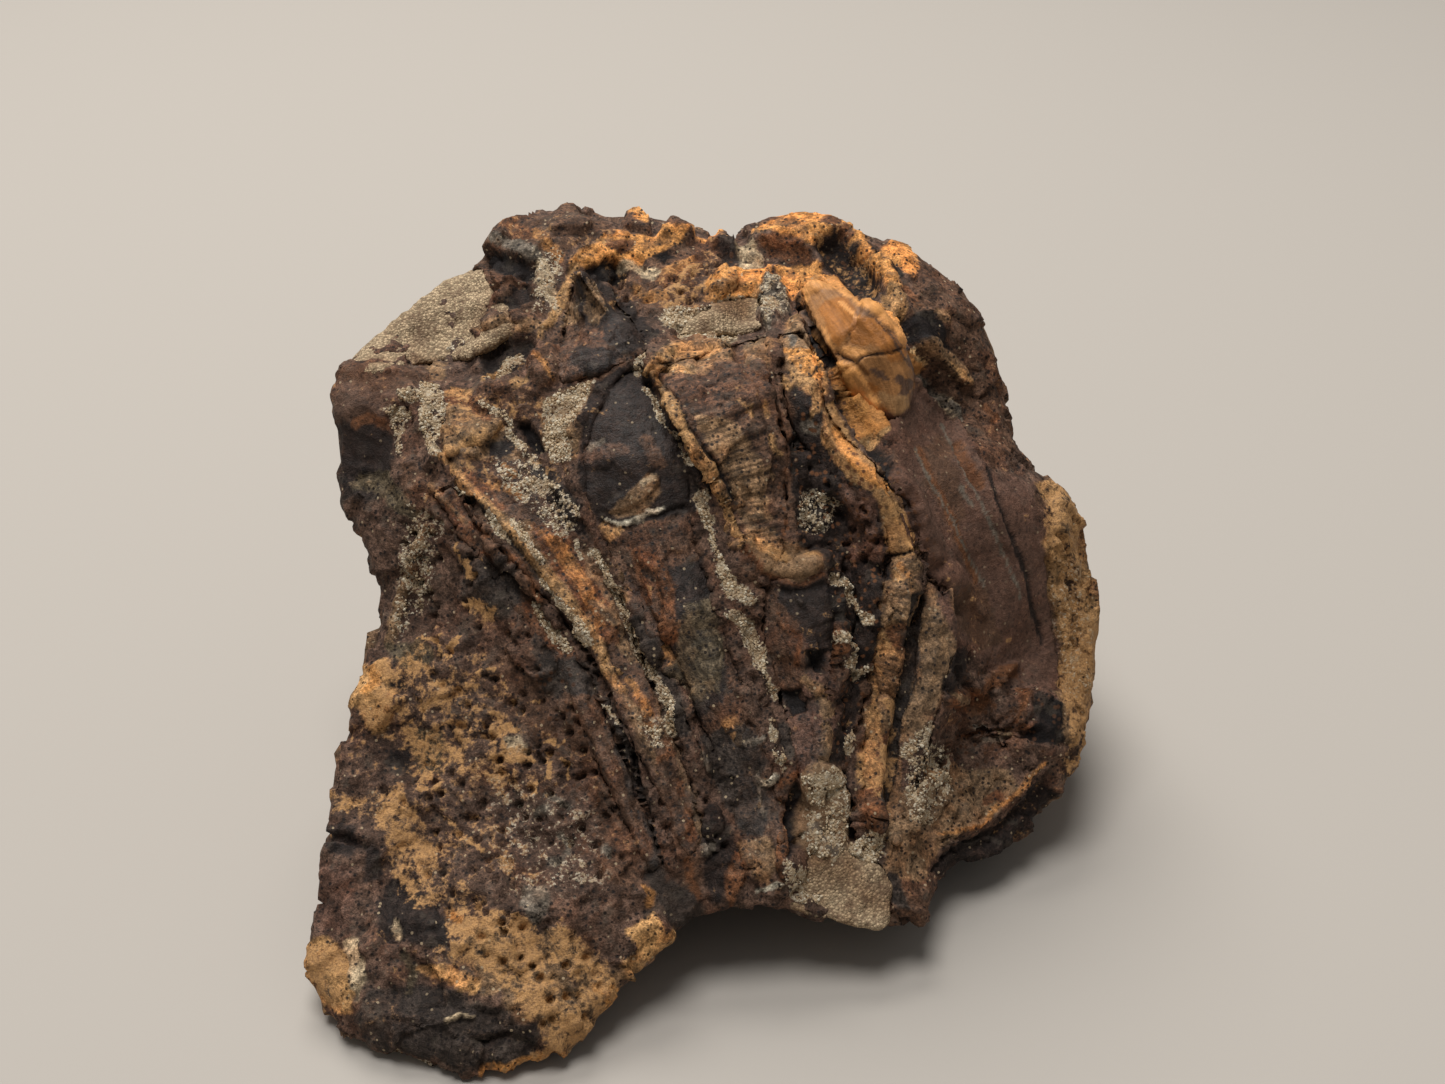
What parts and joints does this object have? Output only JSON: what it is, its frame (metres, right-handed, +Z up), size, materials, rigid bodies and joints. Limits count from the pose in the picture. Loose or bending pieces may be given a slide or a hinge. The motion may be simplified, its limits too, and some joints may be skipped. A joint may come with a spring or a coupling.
{
  "type": "fossil hadrosaur jaw",
  "caption": "Broken piece of fossil jaw bone with curved files of grinding teeth down one leaning face and sandstone in its hollows; lies loose on its base.",
  "frame": {"origin": "on the ground under the middle of the part's box", "axes": "+Z up; -Y is the side that the tooth face leans back from; +X to the right of someone who looks at that face"},
  "size_m": [0.0816, 0.0853, 0.0571],
  "materials": {
    "bone": "matt dark brown fossil bone, spongy and mottled with ochre",
    "dentine": "dull reddish brown, finely striated",
    "tan_tooth": "dull tan to orange, striated, with thin enamel edges",
    "dark_tooth": "grey-black, slightly waxy",
    "amber_enamel": "amber, satin, finely cracked",
    "sandstone": "rough buff sandstone with loose grey grains"
  },
  "bodies": {
    "root": {"jaw_bone": "bone", "tooth_1": "dentine", "tooth_2": "tan_tooth", "tooth_3": "dark_tooth", "tooth_4": "tan_tooth", "tooth_5": "dentine", "tooth_6": "tan_tooth", "tooth_7": "dark_tooth", "tooth_8": "amber_enamel", "tooth_9": "dentine", "sandstone_rear": "sandstone", "sandstone_top": "sandstone", "sandstone_base": "sandstone"}
  },
  "joints": []
}
